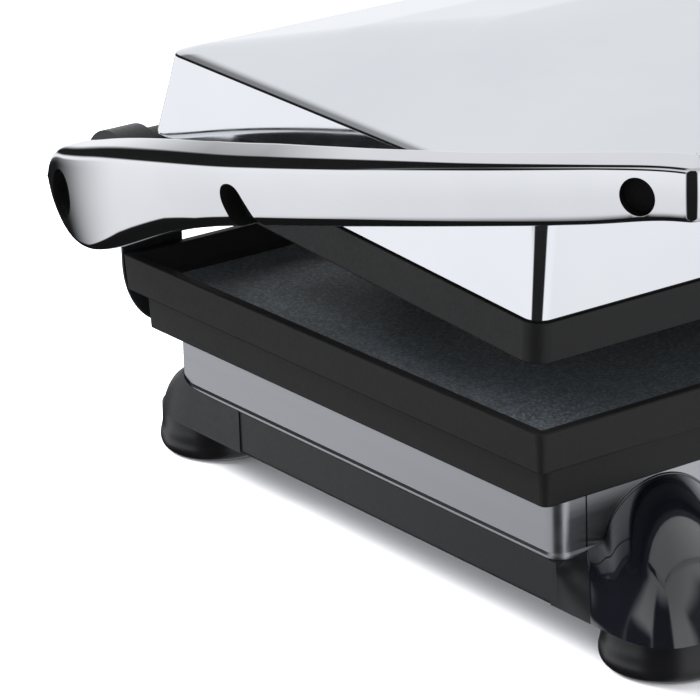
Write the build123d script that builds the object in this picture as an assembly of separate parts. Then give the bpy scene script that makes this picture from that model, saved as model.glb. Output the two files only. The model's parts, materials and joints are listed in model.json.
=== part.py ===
from build123d import *
import math
import os

os.makedirs("parts", exist_ok=True)

# Flat-plate contact grill: a shallow lower tray on a steel-banded base, and a
# heated lid that floats between two bowed handle arms.
# Millimetres, +Z up, +Y to the rear, X = 0 on the centre plane, Z = 0 on the table.

# ---- driving dimensions ----
tray_w = 336.0          # lower plate, outside of its rim, left to right
tray_d = 280.0          # lower plate, outside of its rim, front to rear
tray_front = -120.25    # front plane of the rim, set so that the whole grill is centred on Y = 0
rim_z = 97.0            # top of the rim above the table
arm_thick = 15.0        # handle arm, outer face to inner face
lid_tilt_rest = 3.87    # degrees, nose down, as the raised lid hangs
press_max = 15.3        # degrees that the handle turns down until the plates meet
slack = 0.3             # gap between parts that move past each other

# ---- levels worked out from the rim ----
tray_bottom = rim_z - 16.1
tray_floor = rim_z - 11.9
bezel_bottom = rim_z - 33.7
band_bottom = rim_z - 58.5
base_bottom = rim_z - 76.7
foot_h = 20.3           # a rubber foot, from the table to its leg

# ---- hinge axis and lid pivot, measured from the tray's front plane and rim ----
hinge_y = tray_front + 291.5
hinge_z = rim_z + 29.0
pivot_y = tray_front + 147.0
pivot_z = rim_z + 63.5
half_w = tray_w / 2

shaft_r = 6.0
running = 0.06          # radial clearance of a shaft in its bush
knuckle_r = 21.0
barrel_r = 18.0
knuckle_x = (half_w - 20.0, half_w - 4.0)

# ---- lid, in its own level frame ----
lid_front = tray_front + 13.6
lid_bottom = rim_z + 20.1
lid_len = 255.0
lid_side_inset = 8.8
frame_h = 18.0
side_h_front = 44.0
side_h_rear = 35.0
border_w = 42.0         # sloped border of the lid's top
border_rise = 7.5
shell_t = 1.3
pivot_boss_r = 7.0
lid_place = Pos(0, lid_front, lid_bottom) * Rot(lid_tilt_rest, 0, 0)

# ---- places on the base ----
front_leg_place = (-half_w + 47.5, tray_front - 14.6)
rear_leg_place = (-half_w + 46.0, tray_front + 282.0)
leg_places = [front_leg_place, rear_leg_place]
control_z = band_bottom + 8.5
lamp_x = (-36.0, 36.0)
cover_screw_places = [(x, y) for x in (-110, 110) for y in (-80, 100)]
post_screw_places = [(-half_w + 46, bezel_bottom - 9), (-half_w + 58, bezel_bottom - 9)]
bridge_rear = hinge_y + 8.0
bridge_top = rim_z - 18.0
bridge_shelf_z = bridge_top - 10.0
bridge_chamfer = 8.0
inlet_z = band_bottom + 3.5
gland_r = 4.0

# ---- handle and pivot details ----
recess_r = 11.0         # recess over the end of the hinge shaft
recess_depth = 7.0
front_hole_r = 6.9      # blind hole near the arm's front corner
pivot_pin_r = 4.0
recess_at = Vector(-half_w - 22.3, hinge_y - 3.0, hinge_z)
front_hole_at = Vector(-half_w + 7.0, tray_front - 47.0, rim_z + 100.6)


def outward(turn):
    """Level direction out of the left arm, turned by degrees towards the front."""
    return Vector(-math.cos(math.radians(turn)), -math.sin(math.radians(turn)), 0)


recess_dir = outward(-13.0)
front_hole_dir = outward(30.0)

nodes = {}


def slab(inset_x, inset_front, inset_rear, z0, z1, radius, grow=0.0):
    """Rounded block centred on X, inset from the tray's outline; grow widens its top."""
    width = tray_w - 2 * inset_x
    depth = tray_d - inset_front - inset_rear
    centre_y = tray_front + inset_front + depth / 2
    low = Pos(0, centre_y, z0) * RectangleRounded(width, depth, radius)
    if grow == 0.0:
        return extrude(low, z1 - z0)
    high = Pos(0, centre_y, z1) * RectangleRounded(width + 2 * grow, depth + 2 * grow, radius + grow)
    return loft([low, high], ruled=True)


def block(x0, x1, y0, y1, z0, z1):
    """Plain box from its corners."""
    return Pos((x0 + x1) / 2, (y0 + y1) / 2, (z0 + z1) / 2) * Box(x1 - x0, y1 - y0, z1 - z0)


def rod_x(x0, x1, y, z, radius):
    """Cylinder along X."""
    return Pos((x0 + x1) / 2, y, z) * Rot(0, 90, 0) * Cylinder(radius, x1 - x0)


def rod_y(x, y0, y1, z, radius):
    """Cylinder along Y."""
    return Pos(x, (y0 + y1) / 2, z) * Rot(90, 0, 0) * Cylinder(radius, y1 - y0)


def rod_z(x, y, z0, z1, radius):
    """Cylinder along Z."""
    return Pos(x, y, (z0 + z1) / 2) * Cylinder(radius, z1 - z0)


def turned(points):
    """Solid of revolution about Z; the side is a smooth curve through (radius, z) points."""
    side = Spline([(r, 0, z) for r, z in points])
    first_z = points[0][1]
    last_r, last_z = points[-1]
    lines = [side, Line((0, 0, last_z), (0, 0, first_z)), Line((0, 0, first_z), side @ 0)]
    if last_r > 0:
        lines.append(Line(side @ 1, (0, 0, last_z)))
    return revolve(make_face(lines), Axis.Z)


def mirrored(shape):
    """The same shape on the other side of the centre plane."""
    return mirror(shape, Plane.YZ)


def pair(name, shape):
    """A left piece and its mirror image, as two nodes."""
    nodes[name + "_left"] = shape
    nodes[name + "_right"] = mirrored(shape)


def tube_path(points, radius, bend):
    """Round bar that follows points with bends of the given radius."""
    path = FilletPolyline(points, radius=bend)
    section = Plane(origin=path @ 0, z_dir=path % 0) * Circle(radius)
    return sweep(section, path=path)


def grouped(solids):
    """Separate identical solids in one node."""
    return Compound(children=list(solids))


# ================= base =================

def make_lower_plate():
    """Cast tray: a drafted rim around a flat floor."""
    draft = 1.0
    wall_top = 4.4
    wall_foot = 5.4
    outer = slab(draft, draft, draft, tray_bottom, rim_z, 3.0, grow=draft)
    hollow = slab(wall_foot, wall_foot, wall_foot, tray_floor, rim_z, 5.0, grow=wall_foot - wall_top)
    return outer - hollow


def make_lower_bezel():
    """Tier under the tray, parted from it by a shallow groove."""
    groove = 1.2
    body = slab(8.6, 8.6, 5.4, bezel_bottom, tray_bottom - groove, 3.5, grow=0.8)
    neck = slab(10.0, 10.0, 10.0, tray_bottom - groove, tray_bottom, 6.0)
    opening = slab(26.0, 24.0, 26.0, bezel_bottom, tray_bottom, 6.0)
    return body + neck - opening


def make_steel_band():
    """Thin folded strip around the base with a small rolled lip at its lower edge."""
    wall = slab(16.7, 12.0, 16.0, band_bottom, bezel_bottom, 6.0)
    lip = slab(16.0, 11.3, 15.3, band_bottom, band_bottom + 1.4, 6.7)
    inside = slab(17.7, 13.0, 17.0, band_bottom, bezel_bottom, 5.0)
    windows = [rod_y(x, tray_front, tray_front + 20, control_z, 3.0) for x in lamp_x]
    spindle_hole = rod_y(0, tray_front, tray_front + 20, control_z, 5.0)
    return wall + lip - inside - windows - spindle_hole - post_screw_holes()


def make_base_shell():
    """Moulded skirt with a thinner wall that stands up behind the steel band."""
    skirt = slab(17.2, 12.5, 16.5, base_bottom, band_bottom, 5.5)
    wall = slab(17.7, 13.0, 17.0, band_bottom, bezel_bottom, 5.0)
    inside = slab(20.2, 15.5, 19.5, base_bottom, bezel_bottom, 3.0)
    windows = [rod_y(x, tray_front, tray_front + 20, control_z, 3.0) for x in lamp_x]
    spindle_hole = rod_y(0, tray_front, tray_front + 20, control_z, 5.0)
    return skirt + wall - inside - windows - spindle_hole - post_screw_holes()


def make_bottom_cover():
    """Flat sheet inside the foot of the skirt, drilled for the leg screws and vented."""
    cover = slab(20.4, 15.7, 19.7, base_bottom, base_bottom + 2.0, 3.0)
    slots = [block(x - 1.5, x + 1.5, -40, 40, base_bottom, base_bottom + 2.0) for x in range(-60, 61, 15)]
    holes = [rod_z(x, y, base_bottom, base_bottom + 2.0, 2.6) for x, y in cover_screw_places]
    return cover - slots - holes


def pod(sections, wall_y, forward):
    """Loft of a leg that swells out of the base's wall.

    Each section is (height, left edge, right edge, reach from the wall, corner radius); the
    edges are measured from the tray's left side. forward is -1 in front and 1 at the rear.
    """
    buried = 8.0
    faces = []
    for height, left, right, reach, radius in sections:
        depth = reach + buried
        outline = RectangleRounded(right - left, depth, min(radius, 0.48 * depth))
        middle = ((left + right) / 2 - half_w, wall_y + forward * (depth / 2 - buried), height)
        faces.append(Pos(*middle) * outline)
    solid = loft(faces, ruled=True)
    behind = sorted((wall_y, wall_y - forward * 2 * buried))
    return solid - block(-half_w, 0, behind[0], behind[1], 0, rim_z)


def make_front_leg():
    """Leg like a toe cap: a tall arch on the band that slopes out to a wide foot."""
    sections = [(foot_h, 16.4, 79.0, 58.0, 21.0), (27.0, 18.0, 80.5, 56.6, 21.0), (34.0, 21.0, 83.0, 54.0, 20.0),
                (41.0, 31.0, 86.5, 49.0, 18.0), (48.0, 35.0, 87.0, 42.0, 16.0), (54.0, 41.0, 85.0, 33.0, 14.0),
                (58.5, 47.0, 80.0, 22.0, 9.0), (61.2, 56.0, 74.0, 11.0, 4.0)]
    x, y = front_leg_place
    return pod(sections, tray_front + 11.3, -1) - rod_z(x, y, foot_h, foot_h + 6, 2.1)


def make_rear_leg():
    """Low leg behind the base that flares out over its foot."""
    sections = [(foot_h, 15.6, 71.4, 41.0, 26.0), (27.0, 16.2, 71.2, 39.4, 26.0), (33.0, 18.0, 70.5, 35.5, 24.0),
                (38.5, 21.0, 69.0, 29.0, 20.0), (43.0, 25.0, 66.0, 19.0, 9.0), (46.0, 29.0, 62.0, 7.0, 3.0)]
    x, y = rear_leg_place
    return pod(sections, tray_front + tray_d - 15.3, 1) - rod_z(x, y, foot_h, foot_h + 6, 2.1)


def make_foot():
    """Soft foot, widest a little above the table."""
    profile = [(22.4, 0.0), (24.3, 1.0), (25.7, 3.4), (25.9, 6.5), (25.0, 10.5), (24.7, 15.0), (24.6, foot_h)]
    foot = turned(profile)
    return foot - rod_z(0, 0, 0, 4.0, 7.0) - rod_z(0, 0, 0, foot_h, 2.6)


def make_leg_screw():
    """Pan-head screw that holds a foot and its leg from below."""
    return rod_z(0, 0, 1.2, 4.0, 4.6) + rod_z(0, 0, 4.0, foot_h + 4.0, 2.1)


def make_hinge_post():
    """Post behind the tray: a round knuckle on a body that curves in under the rim."""
    front = tray_front + tray_d + 1.5
    rear = hinge_y + knuckle_r - 3.0
    outer = -half_w + 1.0
    inner = -half_w + 31.0
    curve = 36.0
    shoulder_z = rim_z - 5.0
    foot_z = shoulder_z - curve
    last_x = outer + curve + 28.0
    top_z = rim_z + 9.0
    sketch = make_face([
        Line((outer, 0, hinge_z), (outer, 0, shoulder_z)),
        TangentArc((outer, 0, shoulder_z), (outer + curve, 0, foot_z), tangent=(0, 0, -1)),
        Line((outer + curve, 0, foot_z), (last_x, 0, foot_z)),
        Line((last_x, 0, foot_z), (last_x, 0, rim_z - 26)),
        Line((last_x, 0, rim_z - 26), (inner, 0, rim_z - 14)),
        Line((inner, 0, rim_z - 14), (inner, 0, top_z)),
        Line((inner, 0, top_z), (-knuckle_x[0], 0, top_z)),
        Line((-knuckle_x[0], 0, top_z), (-knuckle_x[0], 0, hinge_z)),
        Line((-knuckle_x[0], 0, hinge_z), (outer, 0, hinge_z)),
    ])
    body = Pos(0, rear, 0) * extrude(sketch, rear - front, dir=(0, -1, 0))
    plan_cut = make_face(Polyline((outer - 1, front + 1), (outer + 18, front + 7), (outer + 30, rear + 1),
                                  (outer - 1, rear + 1), close=True))
    body = body - extrude(plan_cut, 300)
    beside_knuckle = block(outer - 1, -knuckle_x[1], front - 1, rear + 1, top_z - 6, hinge_z + 1)
    knuckle = rod_x(-knuckle_x[1], -knuckle_x[0], hinge_y, hinge_z, knuckle_r)
    base_rear = tray_front + tray_d - 15.3
    arm = block(outer + 38, outer + 64, base_rear, front + 2, band_bottom + 8.0, bezel_bottom - 1.0)
    bore = rod_x(-half_w, -half_w + 31, hinge_y, hinge_z, shaft_r + running)
    return body - beside_knuckle + knuckle + arm - bore - post_screw_holes()


def post_screw_holes():
    """Holes for the screws that hold a post, through its foot and the base's rear wall."""
    base_rear = tray_front + tray_d - 15.3
    return [rod_y(side * x, base_rear - 12, base_rear + 14, z, 2.1)
            for x, z in post_screw_places for side in (1, -1)]


def make_post_screws():
    """Screws driven from inside the base into the posts."""
    base_rear = tray_front + tray_d - 15.3
    inner_wall = tray_front + tray_d - 19.5
    return grouped(rod_y(side * x, inner_wall - 2.4, inner_wall, z, 3.8)
                   + rod_y(side * x, inner_wall, base_rear + 14, z, 2.1)
                   for x, z in post_screw_places for side in (1, -1))


def make_rear_bridge():
    """Cover between the hinge posts, over the wiring and the mains inlet."""
    y0 = tray_front + tray_d - 15.3
    y1 = bridge_rear
    half = half_w - 72.0
    z0 = base_bottom + 6.0
    z1 = bridge_top
    outline = make_face(Polyline(
        (0, y0, z0), (0, y1 - 6, z0), (0, y1, z0 + 8), (0, y1, bridge_shelf_z), (0, y1 - bridge_chamfer, z1),
        (0, tray_front + tray_d + 2, z1), (0, tray_front + tray_d + 2, bezel_bottom - 1),
        (0, y0, bezel_bottom - 1), close=True))
    body = extrude(outline, half, both=True)
    cavity = block(-half + 2.5, half - 2.5, y0 + 2.5, y1 - 2.5, z0 + 2.5, bezel_bottom - 3.5)
    gland_hole = rod_y(0, y1 - 4, y1 + 2, inlet_z, 8.0)
    return body - cavity - gland_hole


def make_opening_stop():
    """Upright tab on the bridge that the barrel's lug meets when the lid is fully open."""
    front = hinge_y + 4.0
    rear = hinge_y + 7.0
    slope = (bridge_top - bridge_shelf_z) / bridge_chamfer
    top = hinge_z - barrel_r - 2.0
    outline = make_face(Polyline(
        (0, front, bridge_shelf_z + slope * (bridge_rear - front)),
        (0, rear, bridge_shelf_z + slope * (bridge_rear - rear)),
        (0, rear, top), (0, front, top), close=True))
    return extrude(outline, 12.0, both=True)


def make_inlet_gland():
    """Flanged gland where a mains lead would enter."""
    y1 = bridge_rear
    flange = rod_y(0, y1, y1 + 3.0, inlet_z, 11.0)
    sleeve = rod_y(0, y1 - 8.0, y1 + 10.0, inlet_z, 7.9)
    return flange + sleeve - rod_y(0, y1 - 8.0, y1 + 10.0, inlet_z, gland_r)


def make_lower_element():
    """Tubular heater under the tray: one loop with both cold ends to the rear."""
    z = tray_bottom - 4.5
    left = -half_w + 52
    front = tray_front + 48
    rear = tray_front + tray_d - 48
    points = [(-12, rear, z), (left, rear, z), (left, front, z), (-left, front, z), (-left, rear, z),
              (12, rear, z)]
    return tube_path(points, 3.6, 22.0)


def make_lower_reflector():
    """Shallow metal pan that throws the heat up."""
    pan = slab(27.0, 25.0, 27.0, bezel_bottom - 2.0, tray_bottom - 9.0, 8.0)
    return pan - slab(27.8, 25.8, 27.8, bezel_bottom - 1.2, tray_bottom - 9.0, 7.2)


def make_thermostat():
    """Thermostat body behind the front wall."""
    y = tray_front + 24.0
    return block(-17, 17, y, y + 26, control_z - 13, control_z + 9)


def make_dial_knob():
    """Round knob with a raised grip bar and a bore for the spindle."""
    face_y = tray_front + 10.6
    disc = rod_y(0, face_y - 6.0, face_y - slack, control_z, 12.3)
    grip = block(-3.0, 3.0, face_y - 14.0, face_y - 6.0, control_z - 11.2, control_z + 11.2)
    grip = grip + rod_y(0, face_y - 9.0, face_y - 6.0, control_z, 7.0)
    return disc + grip


def make_dial_spindle():
    """Spindle that joins the knob to the thermostat."""
    return rod_y(0, tray_front + 10.6 - slack, tray_front + 24.0 - slack, control_z, 3.0)


def make_dial_bezel():
    """Thin ring around the knob with a pointer notch at its top."""
    face_y = tray_front + 11.3
    ring = rod_y(0, face_y - 1.6, face_y, control_z, 15.0) - rod_y(0, face_y - 1.6, face_y, control_z, 12.8)
    return ring - block(-0.7, 0.7, face_y - 1.6, face_y - 0.8, control_z + 12, control_z + 16)


# ================= hinge carrier =================

def make_hinge_shaft():
    """Through shaft on the hinge axis, with a flat-ended head inside each arm."""
    end = half_w + 17.0
    return rod_x(-end, end, hinge_y, hinge_z, shaft_r)


def make_hinge_barrel():
    """Steel tube around the shaft, closed by end discs, with the lug that meets the stop."""
    wall = 3.5
    disc = 8.0
    half = knuckle_x[0] - 0.6
    tube = rod_x(-half, half, hinge_y, hinge_z, barrel_r)
    hollow = rod_x(-half + disc, half - disc, hinge_y, hinge_z, barrel_r - wall)
    lug = block(-10, 10, hinge_y - 3.0, hinge_y + 3.9, hinge_z - barrel_r - 6.0, hinge_z - barrel_r + 1.0)
    return tube + lug - hollow - rod_x(-half, half, hinge_y, hinge_z, shaft_r)


def make_spacer_ring():
    """Collar on the shaft between a post's knuckle and the friction washer."""
    x0 = -half_w - 1.5
    x1 = -knuckle_x[1] - slack
    return rod_x(x0, x1, hinge_y, hinge_z, 15.0) - rod_x(x0, x1, hinge_y, hinge_z, shaft_r + running)


def make_friction_washer():
    """Washer that holds the arm where it is put."""
    x1 = -half_w - 1.5
    x0 = x1 - 2.0
    return rod_x(x0, x1, hinge_y, hinge_z, 13.0) - rod_x(x0, x1, hinge_y, hinge_z, shaft_r + running)


# ================= handle =================

# Plan of an arm's outer face, from the rear lobe to the grip: distance outside the
# tray's side, and distance behind the tray's front plane.
arm_plan = [(19.0, 305.0), (23.0, 289.0), (29.3, 253.0), (34.3, 200.0), (33.8, 140.0), (27.0, 77.0),
            (13.0, 14.0), (-3.7, -36.5), (-11.5, -57.5), (-16.8, -66.5), (-26.0, -70.2), (-44.0, -72.0)]
# Side view of the arm: distance behind the tray's front plane, and height over the rim.
arm_top = [(306.0, 32.0), (300.0, 44.0), (285.0, 52.5), (253.0, 60.0), (195.0, 74.0), (125.0, 88.0),
           (60.0, 99.0), (0.0, 106.5), (-46.0, 114.0), (-80.0, 118.6)]
arm_low = [(-80.0, 95.0), (-46.0, 90.5), (0.0, 81.5), (60.0, 69.8), (125.0, 56.0), (195.0, 36.5),
           (225.0, 25.0), (253.0, 13.5), (272.0, 10.0), (292.0, 14.5), (306.0, 32.0)]
grip_end = -44.0        # where an arm's corner ends and the grip begins


def plan_point(outside, behind):
    """Point of the left arm's plan in the model's frame."""
    return (-half_w - outside, tray_front + behind, 0)


def make_arm():
    """Left arm: plan outline and side outline cut from each other, then bored."""
    outer = Spline([plan_point(*p) for p in arm_plan], tangents=[(-0.25, -1, 0), (1, 0, 0)])
    inner_points = []
    steps = 14
    for step in range(steps + 1):
        at = step / steps
        along = outer % at
        spot = outer @ at
        inner_points.append((spot.X - along.Y * arm_thick, spot.Y + along.X * arm_thick, 0))
    inner = Spline(inner_points)
    plan = make_face([outer, Line(outer @ 1, inner @ 1), inner, Line(inner @ 0, outer @ 0)])
    tall = Pos(0, 0, rim_z - 20) * extrude(plan, 160)
    top = Spline([(0, tray_front + y, rim_z + z) for y, z in arm_top])
    low = Spline([(0, tray_front + y, rim_z + z) for y, z in arm_low])
    side = make_face([top, Line(top @ 1, low @ 0), low])
    wide = extrude(side, 260, both=True)
    arm = tall & wide
    recess = hollow_from(recess_at, recess_dir, recess_r, recess_depth)
    bore = rod_x(-half_w - 40, -half_w, hinge_y, hinge_z, shaft_r + running)
    boss = rod_x(-half_w - 16.0, -half_w - 3.8, hinge_y, hinge_z, 13.0)
    front_hole = hollow_from(front_hole_at, front_hole_dir, front_hole_r, 10.0)
    return arm + boss - recess - bore - front_hole - make_slot() - make_bush_pocket()


def hollow_from(place, direction, radius, depth):
    """Cylinder that starts well outside the arm and ends depth inside of place."""
    clear = 12.0
    plane = Plane(origin=place + direction * clear, z_dir=direction * -1)
    return extrude(plane * Circle(radius), clear + depth)


def make_slot():
    """Slanted slot that is open at the arm's lower edge, below the lid's pivot."""
    lean = math.radians(28)
    width = 8.4
    down = Vector(0, -math.sin(lean), -math.cos(lean))
    top = Vector(0, pivot_y, pivot_z)
    side = Vector(0, math.cos(lean), -math.sin(lean)) * (width / 2)
    flare = Vector(0, -9.0, 0)
    foot = top + down * 26
    outline = make_face(Polyline(top + side, foot + side, foot - side + flare, top - side + down * 12,
                                 top - side, close=True))
    slot = extrude(outline, 60, dir=(-1, 0, 0)) + rod_x(-60, 0, pivot_y, pivot_z, width / 2)
    return Pos(-half_w, 0, 0) * slot


def make_bush_pocket():
    """Room in the arm's inner half for the pivot bush."""
    x1 = -half_w - 10.0
    x0 = -half_w - 26.0
    return block(x0, x1, pivot_y - 12.0, pivot_y + 12.0, pivot_z - 40.0, pivot_z + 10.0)


def make_pivot_bush():
    """Plain bearing for the lid's pivot pin, let into the arm's inner half."""
    x1 = -half_w - 18.9
    x0 = -half_w - 26.0
    bush = block(x0, x1, pivot_y - 12.0, pivot_y + 12.0, pivot_z - 9.0, pivot_z + 10.0)
    bush = fillet(bush.edges().filter_by(Axis.X).group_by(Axis.Z)[0], 6.0)
    return bush - rod_x(x0 + 1.5, x1, pivot_y, pivot_z, pivot_pin_r + running)


def make_grip_bar():
    """Grip between the arm corners, with the same section as their ends."""
    face_y = tray_front - 72.0
    half = half_w + grip_end
    low = rim_z + 93.6
    high = rim_z + 118.0
    section = make_face(Polyline((0, face_y, low), (0, face_y, high - 4), (0, face_y + 4, high - 0.5),
                                 (0, face_y + arm_thick, high), (0, face_y + arm_thick, low), close=True))
    bar = extrude(section, half, both=True)
    return fillet(bar.edges().filter_by(Axis.X), 2.4)


def make_arm_plug():
    """Dark plug at the bottom of the arm's front hole."""
    plane = Plane(origin=front_hole_at - front_hole_dir * 6, z_dir=front_hole_dir * -1)
    return extrude(plane * Circle(front_hole_r), 4.0)


def make_recess_ring():
    """Dark lining of the recess over the shaft's end."""
    lip = 1.5
    wall = 1.6
    plane = Plane(origin=recess_at - recess_dir * lip, z_dir=recess_dir * -1)
    outer = extrude(plane * Circle(recess_r), recess_depth - lip)
    inner = extrude(plane * Circle(recess_r - wall), recess_depth - lip)
    return outer - inner - rod_x(-half_w - 40, -half_w, hinge_y, hinge_z, shaft_r + running)


# ================= lid =================

def lid_outline(inset, w, radius, side_inset=lid_side_inset):
    """Rounded rectangle over the lid's footprint at height w of its own frame."""
    width = tray_w - 2 * side_inset - 2 * inset
    return Pos(0, lid_len / 2, w) * RectangleRounded(width, lid_len - 2 * inset, radius)


def lid_body(skin):
    """Outer form of the chrome shell, shrunk by skin on its sides and top."""
    flare = 5.0
    top_w = frame_h + side_h_front
    low = lid_outline(skin, frame_h, 7.0 - skin)
    high = lid_outline(skin + flare, top_w, 9.0 - skin)
    walls = loft([low, high], ruled=True)
    fall = math.degrees(math.atan2(side_h_front - side_h_rear, lid_len))
    edge = Pos(0, 0, top_w - skin) * Rot(-fall, 0, 0)
    above = edge * Pos(0, lid_len / 2, 40) * Box(tray_w, lid_len + 60, 80)
    crown = loft([edge * lid_outline(skin + flare, 0, 9.0 - skin),
                  edge * lid_outline(border_w, border_rise, 24.0)], ruled=True)
    plateau = loft([edge * lid_outline(border_w, border_rise, 24.0),
                    edge * lid_outline(2 * border_w, border_rise + 3.5, 24.0)], ruled=True)
    return (walls - above) + crown + plateau


def boss_hole(radius):
    """Cylinder across the whole lid at its pivot, in the lid's own frame."""
    return lid_place.inverse() * rod_x(-half_w, half_w, pivot_y, pivot_z, radius)


def make_lid_shell():
    """Chrome-plated cover: flared sides and a softly crowned top."""
    return lid_body(0.0) - lid_body(shell_t) - boss_hole(pivot_boss_r + slack)


def make_lid_frame():
    """Black frame under the shell, stepped at its top edge, with a wide inner opening."""
    step_h = 1.6
    body = extrude(lid_outline(0.0, 0.0, 8.0), frame_h - step_h)
    step = extrude(lid_outline(1.4, frame_h - step_h, 7.0), step_h)
    opening = extrude(lid_outline(14.0, 0.0, 6.0), frame_h)
    rebate = extrude(lid_outline(4.0, 0.0, 6.0), 7.0)
    return body + step - opening - rebate


def make_upper_plate():
    """Cast plate with shallow grill ribs on its face."""
    plate = extrude(lid_outline(4.0, 1.4, 6.0), 5.6)
    ribs = []
    pitch = 11.0
    count = 25
    half_rib = lid_len / 2 - 22.0
    for index in range(count):
        x = (index - (count - 1) / 2) * pitch
        ribs.append(Pos(x, lid_len / 2, 0.5) * Box(4.0, 2 * half_rib, 2.2))
    return plate + ribs


def make_upper_element():
    """Tubular heater above the upper plate."""
    left = -half_w + 60
    rear = lid_len - 40
    points = [(-12, rear, 11.2), (left, rear, 11.2), (left, 40, 11.2), (-left, 40, 11.2),
              (-left, rear, 11.2), (12, rear, 11.2)]
    return tube_path(points, 3.6, 22.0)


def make_upper_reflector():
    """Flat metal sheet over the upper heater, folded down at its edges."""
    pan = extrude(lid_outline(27.0, 8.0, 8.0), 9.0)
    return pan - extrude(lid_outline(27.8, 7.9, 7.2), 8.3)


def make_pivot_bracket():
    """Bracket on the lid frame with the boss that carries the pivot pin through the shell."""
    pivot = (lid_place.inverse() * Pos(0, pivot_y, pivot_z)).position
    x0 = -half_w + lid_side_inset + 6.0
    web = block(x0, x0 + 3.0, pivot.Y - 14, pivot.Y + 14, frame_h, pivot.Z + 10)
    foot = block(x0, x0 + 7.9, pivot.Y - 14, pivot.Y + 14, frame_h, frame_h + 3.0)
    boss = rod_x(-half_w - 18.6, x0 + 1.0, pivot.Y, pivot.Z, pivot_boss_r)
    pin_hole = rod_x(-half_w - 18.6, x0 - 8.0, pivot.Y, pivot.Z, pivot_pin_r)
    return web + foot + boss - pin_hole


def make_pivot_pin():
    """Steel pin pressed into the bracket's boss and turning in the arm's bush."""
    pivot = (lid_place.inverse() * Pos(0, pivot_y, pivot_z)).position
    return rod_x(-half_w - 24.4, -half_w + lid_side_inset - 2.0, pivot.Y, pivot.Z, pivot_pin_r)


def make_plate_screws():
    """Screws that hold the upper plate to the frame."""
    spots = [(sx * (half_w - 30), y) for sx in (-1, 1) for y in (20, lid_len - 20)]
    return grouped(rod_z(x, y, 7.0, 12.0, 3.6) for x, y in spots)


def make_thermal_fuse():
    """Thermal cut-out on the reflector."""
    return Pos(0, lid_len / 2 + 30, 0) * (rod_z(0, 0, 17.0, 25.0, 8.0) + block(-12, 12, -4, 4, 17.0, 19.0))


def make_lead_grommet():
    """Grommet where the heater's leads leave the back of the frame."""
    y1 = lid_len
    return rod_y(90, y1, y1 + 4.0, 9.0, 6.5) - rod_y(90, y1, y1 + 4.0, 9.0, 3.5)


# ================= assembly =================

nodes["lower_plate"] = make_lower_plate()
nodes["lower_bezel"] = make_lower_bezel()
nodes["steel_band"] = make_steel_band()
nodes["base_shell"] = make_base_shell()
nodes["bottom_cover"] = make_bottom_cover()
pair("front_leg", make_front_leg())
pair("rear_leg", make_rear_leg())
for row, (x, y) in zip(("front", "rear"), leg_places):
    pair(row + "_foot", Pos(x, y, 0) * make_foot())
nodes["leg_screws"] = grouped(Pos(side * x, y, 0) * make_leg_screw() for x, y in leg_places for side in (1, -1))
pair("hinge_post", make_hinge_post())
nodes["post_screws"] = make_post_screws()
nodes["rear_bridge"] = make_rear_bridge()
nodes["opening_stop"] = make_opening_stop()
nodes["inlet_gland"] = make_inlet_gland()
nodes["lower_element"] = make_lower_element()
nodes["lower_reflector"] = make_lower_reflector()
nodes["thermostat"] = make_thermostat()
nodes["terminal_block"] = block(40, 80, tray_front + 200, tray_front + 216, base_bottom + 2, base_bottom + 16)
nodes["cover_screws"] = grouped(rod_z(x, y, base_bottom - 1.6, base_bottom, 4.4)
                                + rod_z(x, y, base_bottom, base_bottom + 9.0, 2.1)
                                for x, y in cover_screw_places)
nodes["indicator_lenses"] = grouped(rod_y(x, tray_front + 10.4, tray_front + 15.6, control_z, 2.9)
                                    for x in lamp_x)
nodes["indicator_lamps"] = grouped(rod_y(x, tray_front + 15.8, tray_front + 26, control_z, 2.4)
                                   for x in lamp_x)
nodes["dial_bezel"] = make_dial_bezel()
nodes["dial_knob"] = make_dial_knob()
nodes["dial_spindle"] = make_dial_spindle()

nodes["hinge_shaft"] = make_hinge_shaft()
nodes["hinge_barrel"] = make_hinge_barrel()
pair("spacer_ring", make_spacer_ring())
pair("friction_washer", make_friction_washer())

pair("handle_arm", make_arm())
pair("recess_ring", make_recess_ring())
pair("pivot_bush", make_pivot_bush())
pair("arm_plug", make_arm_plug())
nodes["grip_bar"] = make_grip_bar()

nodes["lid_shell"] = lid_place * make_lid_shell()
nodes["lid_frame"] = lid_place * make_lid_frame()
nodes["upper_plate"] = lid_place * make_upper_plate()
nodes["upper_element"] = lid_place * make_upper_element()
nodes["upper_reflector"] = lid_place * make_upper_reflector()
pair("pivot_bracket", lid_place * make_pivot_bracket())
pair("pivot_pin", lid_place * make_pivot_pin())
nodes["plate_screws"] = lid_place * make_plate_screws()
nodes["thermal_fuse"] = lid_place * make_thermal_fuse()
nodes["lead_grommet"] = lid_place * make_lead_grommet()

for name, shape in nodes.items():
    export_step(shape, f"parts/{name}.step")

whole = Compound(children=[copy for copy in nodes.values()]).bounding_box()
print("nodes", len(nodes))
print("low corner", whole.min)
print("high corner", whole.max)
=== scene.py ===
import bpy
import bmesh
import json
import math
import numpy as np
from mathutils import Matrix, Vector


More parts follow.
